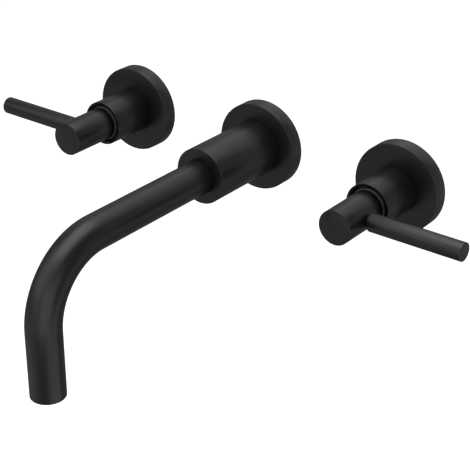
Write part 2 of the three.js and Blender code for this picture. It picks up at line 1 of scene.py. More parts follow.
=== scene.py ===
import json
import math
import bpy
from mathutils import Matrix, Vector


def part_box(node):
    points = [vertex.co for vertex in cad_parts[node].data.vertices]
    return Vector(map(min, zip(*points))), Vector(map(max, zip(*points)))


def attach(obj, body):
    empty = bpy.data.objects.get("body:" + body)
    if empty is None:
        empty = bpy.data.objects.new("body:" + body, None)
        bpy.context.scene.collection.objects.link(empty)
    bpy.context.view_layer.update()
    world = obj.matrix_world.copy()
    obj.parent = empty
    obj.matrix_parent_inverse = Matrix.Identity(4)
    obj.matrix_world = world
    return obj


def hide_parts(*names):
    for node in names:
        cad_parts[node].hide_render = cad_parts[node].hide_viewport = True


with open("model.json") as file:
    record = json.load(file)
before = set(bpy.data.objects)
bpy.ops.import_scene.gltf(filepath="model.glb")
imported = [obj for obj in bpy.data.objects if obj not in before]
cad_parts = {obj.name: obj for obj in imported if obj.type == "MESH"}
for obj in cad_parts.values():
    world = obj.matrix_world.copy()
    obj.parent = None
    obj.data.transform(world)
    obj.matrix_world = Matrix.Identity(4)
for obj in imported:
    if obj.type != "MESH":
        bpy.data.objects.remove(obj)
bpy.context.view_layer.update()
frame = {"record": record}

from types import SimpleNamespace

import bmesh
import bpy
from mathutils import Matrix, Vector

MM = 0.001

# Sizes that the frame's boxes don't give. They are the ones that the CAD parts are cut to.
FLANGE_WALL = 1.8 * MM
SLEEVE_WALL = 1.85 * MM
SLEEVE_DISH = 0.8 * MM
NECK_RADIUS = 8.6 * MM
SHADOW_GAP = 1.8 * MM
RING_GROOVE = 0.4 * MM
RING_FOOT = 1.4 * MM
RING_NOSE_INNER = 0.7 * MM
RING_NOSE_OUTER = 0.6 * MM
FOAM_WIDTH = 3 * MM
STUD_DEPTH = 6 * MM
LEVER_NECK = 4 * MM
LEVER_NECK_LENGTH = 0.8 * MM
LEVER_TAPER = 0.6 * MM
LEVER_BORE = 3.1 * MM
LEVER_BORE_DEPTH = 14 * MM
FIT_GAP = 0.1 * MM
SEAT_GAP = 0.05 * MM
SPINDLE_RADIUS = 4.8 * MM
SPINDLE_BORE = 5.2 * MM
SEAL_FLOOR = 3.3 * MM
CAGE_BORE = 7.2 * MM
CAGE_RADIUS = 8.9 * MM
HEADWORK_THREAD = 6.5 * MM
HEADWORK_HEXAGON = 5.6 * MM
HEADWORK_NECK_WALL = 2.8 * MM
BARREL_FRONT = 20 * MM
SEAT_SEAL_BORE = 6 * MM
TANG = (2.6 * MM, 9 * MM)
DISC_NOTCH = {"inner": 2.4 * MM, "angle": 78}
DISC_PORT = {"inner": 2.9 * MM, "outer": 5.7 * MM, "angle": 66}
TUBE_WALL = 2 * MM
OUTLET_WALL = 1.4 * MM
OUTLET_SEAT = 13 * MM
BEND_RADIUS = 42.5 * MM
PASSAGE_RADIUS = 5.6 * MM
NIPPLE_BORE = 7 * MM
HOUSING_WALL = 1.2 * MM
HOUSING_LIP = 0.6 * MM
CELL_RINGS = 4
CELL_PITCH = 1.5 * MM
CELL_CORNER = 0.74 * MM
G_HALF_RADIUS = 10.48 * MM
G_HALF_PITCH = 1.814 * MM
G_HALF_DEPTH = 1.16 * MM
M6_PITCH = 1 * MM
OUTLET_THREAD = 0.45 * MM
SPLINE_TEETH = 20
SPLINE_TIP = 4 * MM
SPLINE_ROOT = 3.6 * MM

OUT = Vector((0, -1, 0))  # away from the wall
DOWN = Vector((0, 0, -1))
STEPS = 128  # round a turned piece
FINE_STEPS = 64  # round a small one


# ---- Camera and stage ----------------------------------------------------------------------------


CAMERA_AZIMUTH = 37.58
CAMERA_ELEVATION = 27.19
CAMERA_TARGET = Vector((13.6, -48.3, -40.9)) * MM
CAMERA_DISTANCE = 836.7 * MM
CAMERA_LENS = 106.3


def add_camera():
    azimuth, elevation = math.radians(CAMERA_AZIMUTH), math.radians(CAMERA_ELEVATION)
    back = Vector((
        math.sin(azimuth) * math.cos(elevation),
        -math.cos(azimuth) * math.cos(elevation),
        math.sin(elevation),
    ))
    lens = bpy.data.cameras.new("camera")
    lens.sensor_width = 36
    lens.lens = CAMERA_LENS
    lens.clip_start = 0.01
    camera = bpy.data.objects.new("camera", lens)
    bpy.context.scene.collection.objects.link(camera)
    camera.location = CAMERA_TARGET + back * CAMERA_DISTANCE
    camera.rotation_euler = back.to_track_quat("Z", "Y").to_euler()
    bpy.context.scene.camera = camera


def add_light(name, spot, aim, size, watts):
    lamp = bpy.data.lights.new(name, "AREA")
    lamp.shape = "SQUARE"
    lamp.size = size
    lamp.energy = watts
    light = bpy.data.objects.new(name, lamp)
    bpy.context.scene.collection.objects.link(light)
    light.location = spot
    light.rotation_euler = (Vector(spot) - Vector(aim)).to_track_quat("Z", "Y").to_euler()


LIGHT_DISTANCE = 1.3
LIGHT_SIZE = 1.3
ROOM_GLOW = 0.17
MIDDLE = Vector((0, -100, -30)) * MM  # what the lights point at
FLOOR_HEIGHT = -1
FLOOR_SIZE = 24
FLOOR_LIGHT = {"height": -0.7, "size": 26, "watts": 2180}
SOFT_LIGHTS = (  # name, the way it lies from the object, watts
    ("overhead", (0, 0, 1), 12.9),
    ("overhead_front", (0, -1, 1), 3.3),
    ("overhead_back", (0, 1, 1), 3.2),
    ("overhead_left", (-1, -1, 1), 3.9),
    ("overhead_back_left", (-1, 1, 1), 1.0),
    ("front", (0, -1, 0), 2.3),
    ("front_left", (-0.5, -0.8, 0.3), 0.6),
    ("front_right", (1, -1, 0), 5.9),
    ("back_right", (1, 1, 0), 1.2),
    ("below_left", (-1, -1, -1), 1.3),
    ("below_right", (1, 0, -1), 3.9),
)


def light_the_room():
    """A pale floor, lit from just above it, well below a ring of big soft lights."""
    scene = bpy.context.scene
    scene.view_settings.view_transform = "Standard"
    world = bpy.data.worlds.new("studio")
    scene.world = world
    world.use_nodes = True
    nodes, links = world.node_tree.nodes, world.node_tree.links
    seen = nodes["Background"]
    seen.inputs["Color"].default_value = (1, 1, 1, 1)
    cast = nodes.new("ShaderNodeBackground")
    cast.inputs["Color"].default_value = (1, 1, 1, 1)
    cast.inputs["Strength"].default_value = ROOM_GLOW
    rays = nodes.new("ShaderNodeLightPath")
    mix = nodes.new("ShaderNodeMixShader")
    links.new(rays.outputs["Is Camera Ray"], mix.inputs["Fac"])
    links.new(cast.outputs["Background"], mix.inputs[1])
    links.new(seen.outputs["Background"], mix.inputs[2])
    links.new(mix.outputs["Shader"], nodes["World Output"].inputs["Surface"])
    bpy.ops.object.select_all(action="DESELECT")
    bpy.ops.mesh.primitive_plane_add(size=FLOOR_SIZE, location=(0, 0, FLOOR_HEIGHT))
    floor = bpy.context.object
    floor.name = "floor"
    paper = bpy.data.materials.new("white_paper")
    paper.use_nodes = True
    paper.node_tree.nodes["Principled BSDF"].inputs["Base Color"].default_value = (0.9, 0.9, 0.9, 1)
    paper.node_tree.nodes["Principled BSDF"].inputs["Roughness"].default_value = 0.9
    floor.data.materials.append(paper)
    for name, toward, watts in SOFT_LIGHTS:
        spot = MIDDLE + Vector(toward).normalized() * LIGHT_DISTANCE
        add_light(name, spot, MIDDLE, LIGHT_SIZE, watts)
    spot = (0, 0, FLOOR_LIGHT["height"])
    add_light("floor_light", spot, (0, 0, FLOOR_HEIGHT), FLOOR_LIGHT["size"], FLOOR_LIGHT["watts"])
    floor.visible_diffuse = False
    floor.visible_glossy = False


# ---- Finishes ------------------------------------------------------------------------------------


class Signal:
    """A number that varies over a surface. Arithmetic on signals adds the Math nodes that do it."""

    def __init__(self, finish, socket):
        self.finish = finish
        self.socket = socket

    def math(self, operation, *terms):
        return self.finish.add("ShaderNodeMath", {"operation": operation}, dict(enumerate(terms))).out()

    def __add__(self, other):
        return self.math("ADD", self, other)

    def __radd__(self, other):
        return self.math("ADD", other, self)

    def __mul__(self, other):
        return self.math("MULTIPLY", self, other)

    def __rmul__(self, other):
        return self.math("MULTIPLY", other, self)


class Node:
    """A shader node of a finish, whose outputs are read as signals."""

    def __init__(self, finish, node):
        self.finish = finish
        self.node = node

    def out(self, name=0):
        return Signal(self.finish, self.node.outputs[name])


class Finish:
    """A procedural material, built node by node round its Principled shader."""

    def __init__(self, name, **constants):
        self.material = bpy.data.materials.new(name)
        self.material.use_nodes = True
        self.tree = self.material.node_tree
        self.shader = self.tree.nodes["Principled BSDF"]
        for socket, value in constants.items():
            self.shader.inputs[socket.replace("_", " ").title()].default_value = value
        self.place = self.add("ShaderNodeTexCoord").out("Object")

    def add(self, kind, settings=None, sockets=None):
        node = self.tree.nodes.new(kind)
        for key, value in (settings or {}).items():
            setattr(node, key, value)
        for key, value in (sockets or {}).items():
            self.feed(node.inputs[key], value)
        return Node(self, node)

    def feed(self, socket, value):
        if isinstance(value, Signal):
            self.tree.links.new(value.socket, socket)
        else:
            socket.default_value = value

    def noise(self, scale, detail=3, roughness=0.5, stretch=None):
        place = self.place
        if stretch:
            place = self.add("ShaderNodeMapping", None, {"Vector": place, "Scale": stretch}).out()
        return self.add("ShaderNodeTexNoise", None, {
            "Vector": place, "Scale": scale, "Detail": detail, "Roughness": roughness,
        }).out("Fac")

    def blend(self, share, low, high):
        mix = self.add("ShaderNodeMix", {"data_type": "RGBA"}, {0: share})
        self.feed(mix.node.inputs[6], (*low, 1))
        self.feed(mix.node.inputs[7], (*high, 1))
        return mix.out(2)

    def wear(self, **links):
        for socket, value in links.items():
            self.feed(self.shader.inputs[socket.replace("_", " ").title()], value)

    def relief(self, height, depth):
        bump = self.add("ShaderNodeBump", None, {"Height": height, "Distance": depth, "Strength": 1.0})
        self.feed(self.shader.inputs["Normal"], bump.out("Normal"))


def powder_coat():
    finish = Finish("satin_black_powder_coat")
    peel = finish.noise(1500, 2)
    speck = finish.noise(5200, 2)
    cloud = finish.noise(35, 3)
    finish.wear(
        base_color=finish.blend(
            cloud * 0.7 + speck * 0.3, (0.0018, 0.0018, 0.0019), (0.0038, 0.0038, 0.004),
        ),
        roughness=0.31 + cloud * 0.05 + speck * 0.06,
    )
    finish.relief(peel * 0.75 + speck * 0.25, 0.012 * MM)
    return finish.material


def turned_brass():
    finish = Finish("turned_brass", metallic=1.0)
    lines = finish.noise(900, 4, 0.6, stretch=(0.02, 1, 0.02))
    cloud = finish.noise(60, 3)
    finish.wear(
        base_color=finish.blend(cloud, (0.62, 0.42, 0.16), (0.78, 0.58, 0.28)),
        roughness=0.24 + lines * 0.16 + cloud * 0.05,
    )
    finish.relief(lines, 0.01 * MM)
    return finish.material


def plain_steel():
    finish = Finish("stainless_steel", metallic=1.0)
    grain = finish.noise(2500, 3)
    cloud = finish.noise(80, 2)
    finish.wear(
        base_color=finish.blend(cloud, (0.5, 0.51, 0.52), (0.62, 0.63, 0.64)),
        roughness=0.26 + grain * 0.16,
    )
    finish.relief(grain, 0.006 * MM)
    return finish.material


def blackened_steel():
    finish = Finish("blackened_steel", metallic=0.6)
    grain = finish.noise(2200, 3)
    cloud = finish.noise(90, 2)
    finish.wear(
        base_color=finish.blend(cloud, (0.012, 0.012, 0.013), (0.022, 0.022, 0.023)),
        roughness=0.36 + grain * 0.2,
    )
    finish.relief(grain, 0.008 * MM)
    return finish.material


def moulded(name, low, high, roughness):
    finish = Finish(name)
    grain = finish.noise(3500, 3)
    cloud = finish.noise(90, 2)
    finish.wear(base_color=finish.blend(cloud, low, high), roughness=roughness + grain * 0.14)
    finish.relief(grain, 0.01 * MM)
    return finish.material


def cell_foam():
    finish = Finish("closed_cell_foam")
    cells = finish.add(
        "ShaderNodeTexVoronoi", None, {"Vector": finish.place, "Scale": 1800.0},
    ).out("Distance")
    finish.wear(
        base_color=finish.blend(cells, (0.035, 0.035, 0.037), (0.09, 0.09, 0.094)),
        roughness=0.82 + cells * 0.15,
    )
    finish.relief(cells, 0.12 * MM)
    return finish.material


FINISHES = {
    "matte_black": powder_coat(),
    "brass": turned_brass(),
    "steel": plain_steel(),
    "black_steel": blackened_steel(),
    "ceramic": moulded("lapped_ceramic", (0.8, 0.78, 0.73), (0.88, 0.86, 0.82), 0.16),
    "black_rubber": moulded("black_rubber", (0.012, 0.012, 0.012), (0.024, 0.024, 0.024), 0.6),
    "foam": cell_foam(),
    "black_plastic": moulded("black_acetal", (0.013, 0.013, 0.0135), (0.02, 0.02, 0.021), 0.36),
    "pale_plastic": moulded("pale_acetal", (0.7, 0.7, 0.67), (0.78, 0.78, 0.75), 0.34),
}
SLOTS = {part["node"]: part["material_slot"] for part in frame["record"]["subparts"]}
BODY_OF = {
    node: body
    for body, members in frame["record"]["behaviour"]["bodies"].items()
    for node in members
}


# ---- The bench: how pieces are shaped ------------------------------------------------------------


def edit():
    bpy.ops.object.mode_set(mode="EDIT")


def leave():
    bpy.ops.object.mode_set(mode="OBJECT")


def pick(wanted):
    """In edit mode, selects the vertices whose place passes the test, with what lies between them."""
    mesh = bpy.context.edit_object.data
    shape = bmesh.from_edit_mesh(mesh)
    turn = bpy.context.edit_object.matrix_world
    for vertex in shape.verts:
        vertex.select = bool(wanted(turn @ vertex.co))
    shape.select_flush_mode()
    bmesh.update_edit_mesh(mesh)


def pick_near(spot, reach=0.5e-6):
    pick(lambda place: (place - spot).length < reach)


def begin_wire(spot):
    """A plane at the spot, gathered into a single point from which an outline is drawn."""
    bpy.ops.object.select_all(action="DESELECT")
    bpy.ops.mesh.primitive_plane_add(size=MM, location=spot)
    edit()
    bpy.ops.mesh.merge(type="CENTER")


def finish_mesh(name):
    bpy.ops.mesh.select_all(action="SELECT")
    bpy.ops.mesh.remove_doubles(threshold=0.4e-6)
    bpy.ops.mesh.normals_make_consistent(inside=False)
    leave()
    bpy.ops.object.transform_apply(location=True, rotation=True, scale=True)
    piece = bpy.context.object
    piece.name = name
    piece.data.name = name
    return piece


def choose(piece):
    bpy.ops.object.select_all(action="DESELECT")
    piece.select_set(True)
    bpy.context.view_layer.objects.active = piece


def ease_edges(piece, width, angle=40, segments=2):
    """Takes the sharpness off a finished piece's edges."""
    choose(piece)
    bpy.ops.object.modifier_add(type="BEVEL")
    modifier = piece.modifiers[-1]
    modifier.limit_method = "ANGLE"
    modifier.angle_limit = math.radians(angle)
    modifier.width = width
    modifier.segments = segments
    bpy.ops.object.modifier_apply(modifier=modifier.name)
    return piece


def turn(name, outline, centre, along=OUT, steps=STEPS):
    """A piece turned on a lathe. The outline's points are (radius, distance along the axis, rounding)."""
    centre = Vector(centre)
    across = Vector((0, 0, 1)) if along.z == 0 else Vector((1, 0, 0))
    spots = [centre + along * point[1] + across * point[0] for point in outline]
    begin_wire(spots[0])
    for here, there in zip(spots, spots[1:]):
        bpy.ops.mesh.extrude_region_move(TRANSFORM_OT_translate={"value": there - here})
    if outline[0][0] > 0:
        pick(lambda place: min((place - spots[0]).length, (place - spots[-1]).length) < 0.5e-6)
        bpy.ops.mesh.edge_face_add()
    for spot, point in zip(spots, outline):
        if len(point) > 2 and point[2]:
            pick_near(spot)
            bpy.ops.mesh.bevel(
                offset=point[2], offset_type="OFFSET", segments=3, profile=0.5, affect="VERTICES",
            )
    bpy.ops.mesh.select_all(action="SELECT")
    bpy.ops.mesh.spin(steps=steps, angle=2 * math.pi, center=centre, axis=along)
    return finish_mesh(name)


def drill(piece, *cutters, operation="DIFFERENCE"):
    """Cuts a piece with others, or joins them to it, and throws the cutters away."""
    for cutter in cutters:
        choose(piece)
        bpy.ops.object.modifier_add(type="BOOLEAN")
        modifier = piece.modifiers[-1]
        modifier.operation = operation
        modifier.solver = "EXACT"
        modifier.object = cutter
        bpy.ops.object.modifier_apply(modifier=modifier.name)
        bpy.data.objects.remove(cutter)
    return piece


def install(piece, node, angle=28):
    """Smooths a finished piece, puts it in its node's place and gives it its finish and its body."""
    choose(piece)
    bpy.ops.object.shade_smooth_by_angle(angle=math.radians(angle))
    slot = SLOTS[node]
    piece.data.materials.clear()
    piece.data.materials.append(FINISHES[slot])
    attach(piece, BODY_OF[node])
    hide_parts(node)
    return piece


def room(node):
    """Where a piece turned about a wall-normal axis stands: its axis, radius, and depths from the wall."""
    low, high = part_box(node)
    return SimpleNamespace(
        axis=Vector(((low.x + high.x) / 2, 0, 0)),
        radius=(high.x - low.x) / 2,
        back=-high.y,
        front=-low.y,
        low=low,
        high=high,
    )


# ---- Outer pieces --------------------------------------------------------------------------------


def make_escutcheon(node, hole):
    place = room(node)
    rim = place.radius - FLANGE_WALL
    inner = place.front - FLANGE_WALL
    install(turn("cover_" + node, [
        (hole, place.front, 0.2 * MM),
        (place.radius, place.front, 0.5 * MM),
        (place.radius, place.back, 0.15 * MM),
        (rim, place.back, 0.15 * MM),
        (rim, inner, 0.8 * MM),
        (hole, inner, 0.1 * MM),
    ], place.axis), node)


def make_foam_ring(node):
    place = room(node)
    inner = place.radius - FOAM_WIDTH
    install(turn("seal_" + node, [
        (inner, place.back, 0.3 * MM),
        (inner, place.front, 0.5 * MM),
        (place.radius, place.front, 0.5 * MM),
        (place.radius, place.back, 0.3 * MM),
    ], place.axis), node)


def make_sleeve(side):
    """A plain sleeve whose front face falls inward, like a shallow dish."""
    node = side + "_sleeve"
    place = room(node)
    bore = place.radius - SLEEVE_WALL
    dish = place.front - SLEEVE_DISH
    install(turn("sleeve_" + side, [
        (bore, place.back, 0.2 * MM),
        (bore, dish - 0.3 * MM, 0.1 * MM),
        (bore + 0.2 * MM, dish, 0.08 * MM),
        (place.radius - 0.15 * MM, place.front, 0.1 * MM),
        (place.radius, place.front - 0.12 * MM, 0.05 * MM),
        (place.radius, place.back, 0.15 * MM),
    ], place.axis), node)


def make_guide_ring(side):
    """A moulded ring: its foot sits in the hub's neck, its rounded nose in the sleeve's mouth."""
    node = side + "_guide_ring"
    place = room(node)
    foot = NECK_RADIUS - RING_GROOVE + FIT_GAP
    foot_front = place.back + RING_FOOT
    inner = NECK_RADIUS + RING_NOSE_INNER
    outer = place.radius - RING_NOSE_OUTER
    install(turn("glide_ring_" + side, [
        (foot, place.back, 0.1 * MM),
        (foot, foot_front, 0.1 * MM),
        (inner, foot_front, 0.1 * MM),
        (inner, place.front, 0.5 * MM),
        (outer, place.front, 0.8 * MM),
        (outer, foot_front, 0.1 * MM),
        (place.radius, foot_front, 0.2 * MM),
        (place.radius, place.back, 0.2 * MM),
    ], place.axis), node)


def make_hub(side, sign):
    node = side + "_handle_hub"
    place = room(node)
    ring = room(side + "_guide_ring")
    bush = room(side + "_spline_bush")
    stud = room(side + "_lever_stud")
    screw = room(side + "_grub_screw")
    shoulder = room(side + "_sleeve").front + SHADOW_GAP
    socket = bush.radius + FIT_GAP
    floor = NECK_RADIUS - RING_GROOVE
    hub = turn("hub_" + side, [
        (0, bush.front + 0.4 * MM),
        (socket, bush.front + 0.4 * MM, 0.2 * MM),
        (socket, place.back, 0.4 * MM),
        (NECK_RADIUS, place.back, 0.4 * MM),
        (NECK_RADIUS, ring.back - SEAT_GAP, 0.1 * MM),
        (floor, ring.back - SEAT_GAP),
        (floor, ring.back + RING_FOOT + SEAT_GAP),
        (NECK_RADIUS, ring.back + RING_FOOT + SEAT_GAP, 0.1 * MM),
        (NECK_RADIUS, shoulder, 0.15 * MM),
        (place.radius, shoulder, 0.2 * MM),
        (place.radius, place.front, 0.35 * MM),
        (0, place.front),
    ], place.axis)
    depth = (stud.front + stud.back) / 2
    radius = (stud.front - stud.back) / 2 + FIT_GAP
    stud_hole = turn("stud_hole", [
        (0, place.radius - STUD_DEPTH),
        (radius, place.radius - STUD_DEPTH),
        (radius, place.radius - 0.7 * MM),
        (radius + 2 * MM, place.radius + 1.3 * MM),
        (0, place.radius + 1.3 * MM),
    ], place.axis + OUT * depth, Vector((sign, 0, 0)), FINE_STEPS)
    radius = screw.radius + FIT_GAP
    screw_hole = turn("screw_hole", [
        (0, socket - 1 * MM),
        (radius, socket - 1 * MM),
        (radius, place.radius - 0.3 * MM),
        (radius + 1.3 * MM, place.radius + 1 * MM),
        (0, place.radius + 1 * MM),
    ], place.axis + OUT * (screw.front + screw.back) / 2, DOWN, FINE_STEPS)
    install(drill(hub, stud_hole, screw_hole), node)


def make_lever(side, sign):
    node = side + "_handle_lever"
    low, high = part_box(node)
    axis = room(side + "_handle_hub").axis
    centre = axis + OUT * -(low.y + high.y) / 2
    reaches = sorted(abs(edge - axis.x) for edge in (low.x, high.x))
    start, end = reaches
    radius = (high.z - low.z) / 2
    taper = start + LEVER_NECK_LENGTH
    depth = start + LEVER_BORE_DEPTH
    install(turn("lever_" + side, [
        (0, depth + 1.5 * MM),
        (LEVER_BORE, depth),
        (LEVER_BORE, start, 0.3 * MM),
        (LEVER_NECK, start, 0.15 * MM),
        (LEVER_NECK, taper, 0.15 * MM),
        (radius, taper + LEVER_TAPER, 0.35 * MM),
        (radius, end, 0.45 * MM),
        (0, end),
    ], centre, Vector((sign, 0, 0))), node)


# ---- Spout ---------------------------------------------------------------------------------------


def push(step):
    bpy.ops.mesh.extrude_region_move(TRANSFORM_OT_translate={"value": step})


def resize(factor, centre, flat):
    """Scales the selected ring about a centre, across the axis named by the flat letters only."""
    value = tuple(factor if letter in flat else 1 for letter in "XYZ")
    bpy.ops.mesh.extrude_region_move()
    bpy.ops.transform.resize(value=value, center_override=centre)


def make_tube():
    """A ring walked out of the collar, round the bend and down, then back up inside as the bore."""
    low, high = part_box("spout_tube")
    radius = (high.x - low.x) / 2
    reach = -low.y - radius
    start = -high.y
    bend = reach - BEND_RADIUS
    drop = -low.z
    bore = radius - TUBE_WALL
    outlet = radius - OUTLET_WALL
    bend_centre = Vector((0, -bend, -BEND_RADIUS))
    end = Vector((0, -reach, -drop))
    bpy.ops.object.select_all(action="DESELECT")
    bpy.ops.mesh.primitive_circle_add(
        vertices=STEPS, radius=radius, location=(0, -start, 0), rotation=(math.pi / 2, 0, 0),
    )
    edit()
    bpy.ops.mesh.select_all(action="SELECT")
    push(OUT * (bend - start))
    bpy.ops.mesh.spin(steps=56, angle=-math.pi / 2, center=bend_centre, axis=(1, 0, 0))
    push(DOWN * (drop - BEND_RADIUS))
    resize(outlet / radius, end, "XY")
    push(-DOWN * OUTLET_SEAT)
    resize(bore / outlet, end - DOWN * OUTLET_SEAT, "XY")
    push(-DOWN * (drop - BEND_RADIUS - OUTLET_SEAT))
    bpy.ops.mesh.spin(steps=56, angle=math.pi / 2, center=bend_centre, axis=(1, 0, 0))
    push(-OUT * (bend - start))
    pick(lambda place: abs(place.y + start) < 1e-6)
    bpy.ops.mesh.bridge_edge_loops()
    install(ease_edges(finish_mesh("tube_spout"), 0.25 * MM, 60, 3), "spout_tube")


def make_collar():
    node = "spout_collar"
    place = room(node)
    adapter = room("spout_adapter")
    tube = room("spout_tube")
    screw = room("collar_grub_screw")
    bore = adapter.radius + 2 * FIT_GAP
    socket = tube.radius + FIT_GAP
    root = tube.back - FIT_GAP
    collar = turn("collar_spout", [
        (bore, place.back, 0.3 * MM),
        (bore, root, 0.3 * MM),
        (socket, root, 0.2 * MM),
        (socket, place.front, 0.12 * MM),
        (place.radius, place.front, 0.35 * MM),
        (place.radius, place.back, 0.15 * MM),
    ], place.axis)
    radius = screw.radius + FIT_GAP
    hole = turn("screw_hole", [
        (0, bore - 2 * MM),
        (radius, bore - 2 * MM),
        (radius, place.radius - 0.3 * MM),
        (radius + 1.3 * MM, place.radius + 1 * MM),
        (0, place.radius + 1 * MM),
    ], place.axis + OUT * (screw.front + screw.back) / 2, DOWN, FINE_STEPS)
    install(drill(collar, hole), node)


# ---- Threads, prisms and cutters -----------------------------------------------------------------


def thread(radius, back, front, pitch, depth):
    """Outline points of a thread between two depths. Its crests stand at whole pitches from the wall."""
    points = []
    turn_number = math.ceil(back / pitch + 0.5)
    while (turn_number + 0.5) * pitch <= front:
        crest = turn_number * pitch
        points += [
            (radius - depth, crest - 0.42 * pitch),
            (radius, crest - 0.08 * pitch),
            (radius, crest + 0.08 * pitch),
            (radius - depth, crest + 0.42 * pitch),
        ]
        turn_number += 1
    return points


def prism(name, corners, radius, base, along, length, spin=0):
    """A bar of regular section, drawn as a flat polygon and pushed out to its length."""
    bpy.ops.object.select_all(action="DESELECT")
    facing = along.to_track_quat("Z", "Y").to_matrix().to_4x4() @ Matrix.Rotation(spin, 4, "Z")
    bpy.ops.mesh.primitive_circle_add(
        vertices=corners, radius=radius, fill_type="NGON", location=base, rotation=facing.to_euler(),
    )
    edit()
    bpy.ops.mesh.select_all(action="SELECT")
    push(along * length)
    return finish_mesh(name)


def block(name, centre, size):
    bpy.ops.object.select_all(action="DESELECT")
    bpy.ops.mesh.primitive_cube_add(size=1, location=centre)
    bpy.ops.transform.resize(value=size)
    edit()
    return finish_mesh(name)


def wedge(name, axis, inner, outer, middle, width, back, front):
    """A sector of a ring round the valve's axis, at an angle in degrees from +X towards +Z."""
    start = math.radians(middle - width / 2)
    toward = Vector((math.cos(start), 0, math.sin(start)))
    begin_wire(axis + toward * inner + OUT * back)
    push(toward * (outer - inner))
    bpy.ops.mesh.select_all(action="SELECT")
    steps = max(6, round(width / 4))
    bpy.ops.mesh.spin(steps=steps, angle=-math.radians(width), center=axis, axis=OUT)
    bpy.ops.mesh.select_all(action="SELECT")
    push(OUT * (front - back))
    return finish_mesh(name)


def star(name, axis, tip, root, back, front):
    """A splined bar: every second corner of a polygon drawn in to the root, then pushed out."""
    bpy.ops.object.select_all(action="DESELECT")
    base = axis + OUT * back
    bpy.ops.mesh.primitive_circle_add(
        vertices=2 * SPLINE_TEETH, radius=tip, fill_type="NGON", location=base,
        rotation=(math.pi / 2, 0, 0),
    )
    edit()
    step = 180 / SPLINE_TEETH

    def is_root(place):
        angle = math.degrees(math.atan2(place.z - base.z, place.x - base.x))
        return round(angle / step) % 2 == 1

    pick(is_root)
    bpy.ops.transform.resize(value=(root / tip, 1, root / tip), center_override=base)
    bpy.ops.mesh.select_all(action="SELECT")
    push(OUT * (front - back))
    return finish_mesh(name)


# ---- Fasteners, seals and rings ------------------------------------------------------------------


def make_grub_screw(node, key, socket_depth, pitch):
    """A socket set screw with a cone point, screwed up from below."""
    low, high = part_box(node)
    radius = (high.x - low.x) / 2
    tip, head = -high.z, -low.z
    point = 0.6 * radius
    centre = Vector(((low.x + high.x) / 2, (low.y + high.y) / 2, 0))
    screw = turn("screw_" + node, [
        (0, tip),
        (point, tip, 0.1 * MM),
        (radius - 0.5 * pitch, tip + point),
        *thread(radius, tip + point, head - 0.2 * MM, pitch, 0.5 * pitch),
        (radius - 0.3 * pitch, head, 0.1 * MM),
        (0, head),
    ], centre, DOWN, FINE_STEPS)
    corner = key / math.cos(math.pi / 6)
    socket = prism("key_socket", 6, corner, centre + DOWN * (head - socket_depth), DOWN, MM * 3)
    install(drill(screw, socket), node)


def make_stud(side, sign):
    """A threaded stud that ties the lever to the hub, plain where it crosses the gap."""
    node = side + "_lever_stud"
    low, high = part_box(node)
    axis = room(side + "_handle_hub").axis
    centre = axis + OUT * -(low.y + high.y) / 2
    radius = (high.z - low.z) / 2
    start, end = sorted(abs(edge - axis.x) for edge in (low.x, high.x))
    hub_face = room(side + "_handle_hub").radius
    gap_end = hub_face + 0.9 * MM
    root = radius - 0.5 * M6_PITCH
    install(turn("stud_" + side, [
        (0, start),
        (root, start, 0.15 * MM),
        *thread(radius, start + 0.2 * MM, hub_face - 0.6 * MM, M6_PITCH, 0.5 * M6_PITCH),
        (radius - 0.05 * MM, hub_face - 0.3 * MM, 0.1 * MM),
        (radius - 0.05 * MM, gap_end, 0.1 * MM),
        *thread(radius, gap_end + 0.4 * MM, end - 0.2 * MM, M6_PITCH, 0.5 * M6_PITCH),
        (root, end, 0.15 * MM),
        (0, end),
    ], centre, Vector((sign, 0, 0)), FINE_STEPS), node)


def make_o_ring(node):
    """An O-ring with the faint ridge its mould leaves round the outside."""
    place = room(node)
    section = (place.front - place.back) / 2
    middle = (place.front + place.back) / 2
    centre = place.axis + OUT * middle
    bpy.ops.object.select_all(action="DESELECT")
    bpy.ops.mesh.primitive_torus_add(
        major_radius=place.radius - section, minor_radius=section, major_segments=96,
        minor_segments=24, location=centre, rotation=(math.pi / 2, 0, 0),
    )
    edit()
    pick(lambda spot: Vector((spot.x - centre.x, spot.z)).length > place.radius - 1e-7)
    ridge = 1 + 0.03 * MM / place.radius
    bpy.ops.transform.resize(value=(ridge, 1, ridge), center_override=centre)
    install(finish_mesh("ring_" + node), node, 60)


def make_circlip(side):
    """A snap ring, open at the bottom, with an eye at each end for the pliers."""
    node = side + "_spindle_circlip"
    place = room(node)
    inner = SPINDLE_RADIUS - 0.65 * MM
    band = place.radius - 0.9 * MM
    clip = wedge("clip_" + side, place.axis, inner, band, 90, 310, place.back, place.front)
    for angle in (-50, 230):
        toward = Vector((math.cos(math.radians(angle)), 0, math.sin(math.radians(angle))))
        eye = place.axis + toward * (place.radius - 0.95 * MM)
        ear = prism("ear", 24, 0.94 * MM, eye + OUT * place.back, OUT, place.front - place.back)
        clip = drill(clip, ear, operation="UNION")
        hole = prism("eye", 20, 0.5 * MM, eye + OUT * (place.back - MM), OUT, 3 * MM)
        clip = drill(clip, hole)
    install(ease_edges(clip, 0.06 * MM), node)


def make_ring(node, inner, inner_ease, outer_ease, name):
    """A plain turned washer, with its own easing inside and outside."""
    place = room(node)
    install(turn(name + node, [
        (inner, place.back, inner_ease),
        (inner, place.front, inner_ease),
        (place.radius, place.front, outer_ease),
        (place.radius, place.back, outer_ease),
    ], place.axis), node)


